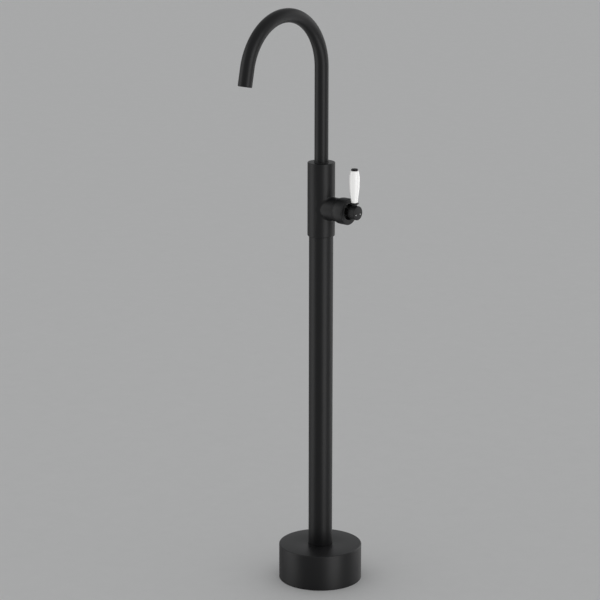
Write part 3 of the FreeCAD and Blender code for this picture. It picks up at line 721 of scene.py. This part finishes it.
def drill_stop_hole(piece):
    """Drills the hole of the spout's stop screw into the back of the valve body."""
    depth = 6 * MM
    drill_length = 10 * MM
    place = Vector((0, radius("valve_body", Y) - depth, middle("spout_stop_screw", Z)))
    drill(piece, M5_HOLE, place, BACK, drill_length)


def drill_lock_holes(piece):
    """Drills the holes of the two body lock screws, one on each side of the back."""
    spread = 35  # degrees from the back
    drill_length = 6 * MM
    height = UP * middle("body_lock_screws", Z)
    for side in (-1, 1):
        way = Matrix.Rotation(math.radians(90 + spread * side), 3, "Z") @ Vector((1, 0, 0))
        drill(piece, M4_HOLE, way * radius("column_tube", X) + height, way, drill_length)


def valve_body(sizes):
    """The barrel and its boss as one casting, with the tapped holes at its back."""
    piece = barrel(sizes)
    side_boss = boss(sizes)
    apply_modifier(piece, "BOOLEAN", operation="UNION", solver="EXACT", object=side_boss)
    bpy.data.objects.remove(side_boss)
    drill_stop_hole(piece)
    drill_lock_holes(piece)
    smooth(piece)
    put_on(piece, "column_assembly", "matte_black", "valve_body")


def bush(sizes):
    """The dark ring where the spout leaves the body."""
    outer = radius("spout_bush", X)
    inner = sizes.tube_radius + FIT_GAP
    bottom = low("spout_bush", Z)
    top = high("spout_bush", Z)
    rings = [(outer, bottom), (outer, top, EASED_EDGE), (inner, top, HAIR_EDGE), (inner, bottom)]
    piece = turned("spout_bush_ring", rings, sizes.sides, joined=True)
    put_on(piece, "column_assembly", "black_plastic", "spout_bush")


def control_cap(sizes):
    """The fixed drum round the cartridge, with a spherical shoulder and a deep recess."""
    outer = sizes.cap_radius
    rear = low("control_cap", X)
    front = high("control_cap", X)
    recess_floor = front - sizes.cap_step
    recess_round = 0.6 * MM
    shoulder = math.acos(sizes.boss_radius / outer)
    centre = rear + outer * math.sin(shoulder)
    rings = [(sizes.cap_bore, rear)]
    for angle in reversed(arc(shoulder, steps=10)):
        rings.append((outer * math.cos(angle), centre - outer * math.sin(angle)))
    rings += [
        (outer, front, sizes.cap_front_round),
        (sizes.cap_opening, front, recess_round),
        (sizes.cap_opening, recess_floor),
        (sizes.cap_bore, recess_floor),
    ]
    piece = turned("control_cap_drum", rings, sizes.sides, joined=True)
    along_control(piece)
    put_on(piece, "column_assembly", "matte_black", "control_cap")


def lever_hub(sizes):
    """The round hub on the stem, which carries the lever, with the grub screw's hole under it."""
    outer = radius("lever_hub", Z)
    hole_depth = 6 * MM
    drill_length = 8 * MM
    rings = [(outer, low("lever_hub", X), SOFT_EDGE), (outer, high("lever_hub", X), sizes.hub_round)]
    piece = turned("lever_hub_knob", rings, sizes.small_sides)
    along_control(piece)
    hole = Vector((middle("hub_grub_screw", X), 0, CONTROL_Z - outer + hole_depth))
    drill(piece, M5_HOLE, hole, DOWN, drill_length)
    smooth(piece)
    put_on(piece, "lever", "matte_black", "lever_hub")


def index_dots():
    """Two small domed dots on the hub's end."""
    dot_radius = 0.9 * MM
    dot_sides = 24
    face = high("lever_hub", X)
    side = radius("index_dots", Y) - dot_radius
    drop = CONTROL_Z - middle("index_dots", Z)
    rings = [(dot_radius * share, face + rise) for share, rise in DOT_PROFILE]
    dots = []
    for way in (-1, 1):
        dot = turned("index_dot", rings, dot_sides)
        along_control(dot)
        dot.location = (0, way * side, -drop)
        settle(dot)
        dots.append(dot)
    clear_selection()
    for dot in dots:
        dot.select_set(True)
    bpy.context.view_layer.objects.active = dots[0]
    bpy.ops.object.join()
    dots[0].name = "index_dot_pair"
    put_on(dots[0], "lever", "pale_enamel", "index_dots")


def ferrule(sizes):
    """The black neck and flange under the grip."""
    foot = 5.0 * MM
    foot_height = 0.4 * MM
    sunk = 2.0 * MM  # how far the foot reaches into the hub
    neck = 4.5 * MM
    neck_round = 0.8 * MM
    flange = radius("lever_ferrule", X)
    flange_height = 2.0 * MM
    top = high("lever_ferrule", Z)
    under = top - flange_height
    rings = [
        (foot, HUB_CROWN - sunk),
        (foot, HUB_CROWN + foot_height, EASED_EDGE),
        (neck, under, neck_round),
        (flange, under, SOFT_EDGE),
        (flange, top, SOFT_EDGE),
    ]
    piece = turned("lever_ferrule_neck", rings, sizes.small_sides)
    on_lever(piece)
    put_on(piece, "lever", "matte_black", "lever_ferrule")


def grip(sizes):
    """The white barrel-shaped grip."""
    bottom = low("ceramic_grip", Z)
    length = high("ceramic_grip", Z) - bottom
    rings = [
        (half_width, bottom + length * share, *rounding)
        for half_width, share, *rounding in GRIP_PROFILE
    ]
    piece = turned("ceramic_grip_barrel", rings, sizes.small_sides)
    apply_modifier(piece, "SUBSURF", levels=2, render_levels=2)
    on_lever(piece)
    make_active(piece)
    bpy.ops.object.shade_smooth()
    put_on(piece, "lever", "white_glaze", "ceramic_grip")


def grip_cap(sizes):
    """The small domed cap on the grip."""
    outer = radius("grip_cap", X)
    dome_height = 1.4 * MM
    dome_inset = 2.4 * MM  # from the cap's side to the flat on its dome
    dome = high("grip_cap", Z) - dome_height
    rings = [(outer, low("grip_cap", Z), SHARP_EDGE)]
    for angle in arc(QUARTER_TURN, steps=6):
        crown = outer - dome_inset * (1 - math.cos(angle))
        rings.append((crown, dome + dome_height * math.sin(angle)))
    piece = turned("grip_cap_dome", rings, sizes.small_sides)
    on_lever(piece)
    put_on(piece, "lever", "matte_black", "grip_cap")


def bend_start(sizes):
    """The height where the gooseneck starts to bend."""
    return high("spout_tube", Z) - sizes.bend_radius - sizes.tube_radius


def outlet_flow(sizes):
    """The way that the water leaves the outlet."""
    return Vector((0, -math.sin(sizes.bend_sweep), math.cos(sizes.bend_sweep)))


def outlet_middle(sizes):
    """The middle of the gooseneck's open end."""
    reach = sizes.bend_radius * (math.cos(sizes.bend_sweep) - 1)
    rise = sizes.bend_radius * math.sin(sizes.bend_sweep)
    bend_end = Vector((0, reach, bend_start(sizes) + rise))
    return bend_end + outlet_flow(sizes) * sizes.outlet_straight


def spout(sizes):
    """The gooseneck tube: a ring raised, spun round the bend and drawn on to the outlet."""
    foot = low("spout_tube", Z)
    bend = bend_start(sizes)
    centre = (0, -sizes.bend_radius, bend)
    piece = add_circle("gooseneck_tube", sizes.tube_radius, foot, sizes.sides)
    settle(piece)
    bpy.ops.object.mode_set(mode="EDIT")
    bpy.ops.mesh.select_all(action="SELECT")
    extrude_by((0, 0, bend - foot))
    bpy.ops.mesh.spin(steps=BEND_STEPS, angle=sizes.bend_sweep, center=centre, axis=(-1, 0, 0))
    extrude_by(outlet_flow(sizes) * sizes.outlet_straight)
    merge_and_orient()
    bpy.ops.object.mode_set(mode="OBJECT")
    face_out(piece)
    apply_modifier(piece, "SOLIDIFY", thickness=sizes.tube_wall, offset=-1.0)
    smooth(piece)
    put_on(piece, "spout", "matte_black", "spout_tube")


def face_out(piece):
    """Turns an open tube's faces outwards, judged by its first upright wall."""
    wall = min(piece.data.polygons, key=lambda face: face.center.z)
    if wall.normal.x * wall.center.x + wall.normal.y * wall.center.y < 0:
        piece.data.flip_normals()


def outlet_lip(sizes):
    """The rounded lip of the aerator's sleeve."""
    sleeve = sizes.tube_radius - sizes.tube_wall
    depth = 12 * MM  # of the sleeve in the tube
    setback = 0.5 * MM  # of the lip from the tube's side
    lip = sizes.tube_radius - setback
    mouth = 8.8 * MM
    ledge = 1.5 * MM
    pocket = 9.6 * MM  # behind the ledge, for the aerator
    rings = [
        (sleeve, depth),
        (sleeve, 0),
        (lip, 0, HAIR_EDGE),
        (lip, -sizes.outlet_lip, SOFT_EDGE),
        (mouth, -sizes.outlet_lip, SHARP_EDGE),
        (mouth, ledge),
        (pocket, ledge),
        (pocket, depth),
    ]
    piece = turned("aerator_sleeve_lip", rings, sizes.small_sides, joined=True)
    piece.rotation_euler = UP.rotation_difference(-outlet_flow(sizes)).to_euler()
    piece.location = outlet_middle(sizes)
    settle(piece)
    put_on(piece, "spout", "matte_black", "aerator_sleeve")


# Stage


# The camera that was fitted to the photograph
CAMERA_PLACE = Vector((2.75847, -3.44057, 1.69481))
CAMERA_RIGHT = Vector((0.774518, 0.632552, 0.000714))
CAMERA_UP = Vector((-0.159853, 0.194638, 0.967762))
CAMERA_LENS = 146.7  # lens and sensor in millimetres
CAMERA_SENSOR = 36.0
CAMERA_REACH = 60.0

FLOOR_SIZE = 60
SOFTBOX_FOOT = -0.7  # the soft lights reach below the floor, which doesn't block them
SOFTBOX_HEIGHT = 2.5
SOFTBOXES = [
    # name, bearing from +X in degrees, distance, width, radiance
    ("left_softbox", 222, 1.4, 1.1, 1.4),
    ("right_softbox", -13, 1.3, 0.8, 2.1),
    ("back_softbox", 78, 1.7, 1.4, 1.4),
]
WORLD_COLOUR = (0.80, 0.81, 0.82, 1)
WORLD_STRENGTH = 0.6


def add_camera():
    """The camera at the photograph's viewing angle."""
    back = CAMERA_RIGHT.cross(CAMERA_UP)
    turn = Matrix((CAMERA_RIGHT, CAMERA_UP, back)).transposed()
    data = bpy.data.cameras.new("camera")
    data.lens = CAMERA_LENS
    data.sensor_width = CAMERA_SENSOR
    data.clip_end = CAMERA_REACH
    camera = bpy.data.objects.new("camera", data)
    camera.matrix_world = Matrix.Translation(CAMERA_PLACE) @ turn.to_4x4()
    bpy.context.scene.collection.objects.link(camera)
    bpy.context.scene.camera = camera


def add_softbox(name, bearing, distance, width, radiance):
    """A tall soft light that faces the object."""
    data = bpy.data.lights.new(name, "AREA")
    data.shape = "RECTANGLE"
    data.size = width
    data.size_y = SOFTBOX_HEIGHT
    data.energy = radiance * math.pi * width * SOFTBOX_HEIGHT
    lamp = bpy.data.objects.new(name, data)
    turn = math.radians(bearing)
    rise = SOFTBOX_FOOT + SOFTBOX_HEIGHT / 2
    lamp.location = (distance * math.cos(turn), distance * math.sin(turn), rise)
    lamp.rotation_euler = (QUARTER_TURN, 0, turn + QUARTER_TURN)
    lamp.visible_camera = False
    bpy.context.scene.collection.objects.link(lamp)
    return lamp


def spare_floor(lamps, floor):
    """Lets the floor neither catch nor block the soft lights.

    The surround alone lights it to one even tone, and the lights' bands run down to the object's foot.
    """
    spared = bpy.data.collections.new("not_in_soft_light")
    spared.objects.link(floor)
    spared.collection_objects[0].light_linking.link_state = "EXCLUDE"
    for lamp in lamps:
        lamp.light_linking.receiver_collection = spared
        lamp.light_linking.blocker_collection = spared


def add_floor(finishes):
    """A wide pale floor."""
    clear_selection()
    bpy.ops.mesh.primitive_plane_add(size=FLOOR_SIZE, location=(0, 0, 0))
    floor = bpy.context.object
    floor.name = "floor"
    colour = tuple(finishes.floor_colour)
    material = finish_material("pale_floor", colour, roughness=0.85, grain=40, tone=0.03, bump=0.0)
    floor.data.materials.append(material)
    return floor


def add_world():
    """An even pale surround."""
    world = bpy.data.worlds.new("studio")
    bpy.context.scene.world = world
    world.use_nodes = True
    set_inputs(world.node_tree.nodes["Background"], Color=WORLD_COLOUR, Strength=WORLD_STRENGTH)


def make_stage(finishes):
    """Camera, floor, surround and lights."""
    add_camera()
    floor = add_floor(finishes)
    add_world()
    lamps = [add_softbox(*softbox) for softbox in SOFTBOXES]
    spare_floor(lamps, floor)
    bpy.context.scene.view_settings.view_transform = "Standard"


# Operators


class BATHFILLER_OT_finishes(Operator):
    """Makes the finishes and gives them to the CAD nodes"""

    bl_idname = "bathfiller.finishes"
    bl_label = "Finishes"

    def execute(self, context):
        make_materials(context.scene.filler_finishes)
        finish_frame_nodes()
        return {"FINISHED"}


class BATHFILLER_OT_base(Operator):
    """Models the base cover and the column"""

    bl_idname = "bathfiller.base"
    bl_label = "Base and Column"

    def execute(self, context):
        sizes = context.scene.filler_sizes
        base_cover(sizes)
        column(sizes)
        return {"FINISHED"}


class BATHFILLER_OT_valve_body(Operator):
    """Models the valve body with its boss, and the spout's bush"""

    bl_idname = "bathfiller.valve_body"
    bl_label = "Valve Body"

    def execute(self, context):
        sizes = context.scene.filler_sizes
        valve_body(sizes)
        bush(sizes)
        return {"FINISHED"}


class BATHFILLER_OT_control(Operator):
    """Models the fixed cap, the lever hub and its index dots"""

    bl_idname = "bathfiller.control"
    bl_label = "Control"

    def execute(self, context):
        sizes = context.scene.filler_sizes
        control_cap(sizes)
        lever_hub(sizes)
        index_dots()
        return {"FINISHED"}


class BATHFILLER_OT_lever(Operator):
    """Models the lever's ferrule, white grip and cap"""

    bl_idname = "bathfiller.lever"
    bl_label = "Lever"

    def execute(self, context):
        sizes = context.scene.filler_sizes
        ferrule(sizes)
        grip(sizes)
        grip_cap(sizes)
        return {"FINISHED"}


class BATHFILLER_OT_spout(Operator):
    """Models the gooseneck and the lip of its outlet"""

    bl_idname = "bathfiller.spout"
    bl_label = "Spout"

    def execute(self, context):
        sizes = context.scene.filler_sizes
        spout(sizes)
        outlet_lip(sizes)
        return {"FINISHED"}


class BATHFILLER_OT_stage(Operator):
    """Sets up the camera, the floor and the lights"""

    bl_idname = "bathfiller.stage"
    bl_label = "Stage"

    def execute(self, context):
        make_stage(context.scene.filler_finishes)
        return {"FINISHED"}


OPERATORS = [
    BATHFILLER_OT_finishes,
    BATHFILLER_OT_base,
    BATHFILLER_OT_valve_body,
    BATHFILLER_OT_control,
    BATHFILLER_OT_lever,
    BATHFILLER_OT_spout,
    BATHFILLER_OT_stage,
]


class BATHFILLER_PT_panel(Panel):
    """Lists the pieces of the bath filler"""

    bl_idname = "BATHFILLER_PT_panel"
    bl_label = "Bath Filler"
    bl_space_type = "VIEW_3D"
    bl_region_type = "UI"
    bl_category = "Bath Filler"

    def draw(self, context):
        for operator in OPERATORS:
            self.layout.operator(operator.bl_idname)
        for group in (context.scene.filler_sizes, context.scene.filler_finishes):
            box = self.layout.box()
            for name in group.bl_rna.properties.keys():
                if name not in ("rna_type", "name"):
                    box.prop(group, name)


CLASSES = [FillerSizes, FillerFinishes] + OPERATORS + [BATHFILLER_PT_panel]


def register():
    """Registers the classes and gives every scene the sizes and finishes."""
    for each in CLASSES:
        bpy.utils.register_class(each)
    bpy.types.Scene.filler_sizes = PointerProperty(type=FillerSizes)
    bpy.types.Scene.filler_finishes = PointerProperty(type=FillerFinishes)


def unregister():
    """Takes away what register added."""
    del bpy.types.Scene.filler_finishes
    del bpy.types.Scene.filler_sizes
    for each in reversed(CLASSES):
        bpy.utils.unregister_class(each)


def main():
    """Makes the finishes, every piece and the stage."""
    register()
    bpy.ops.bathfiller.finishes()
    bpy.ops.bathfiller.base()
    bpy.ops.bathfiller.valve_body()
    bpy.ops.bathfiller.control()
    bpy.ops.bathfiller.lever()
    bpy.ops.bathfiller.spout()
    bpy.ops.bathfiller.stage()


if __name__ == "__main__":
    main()
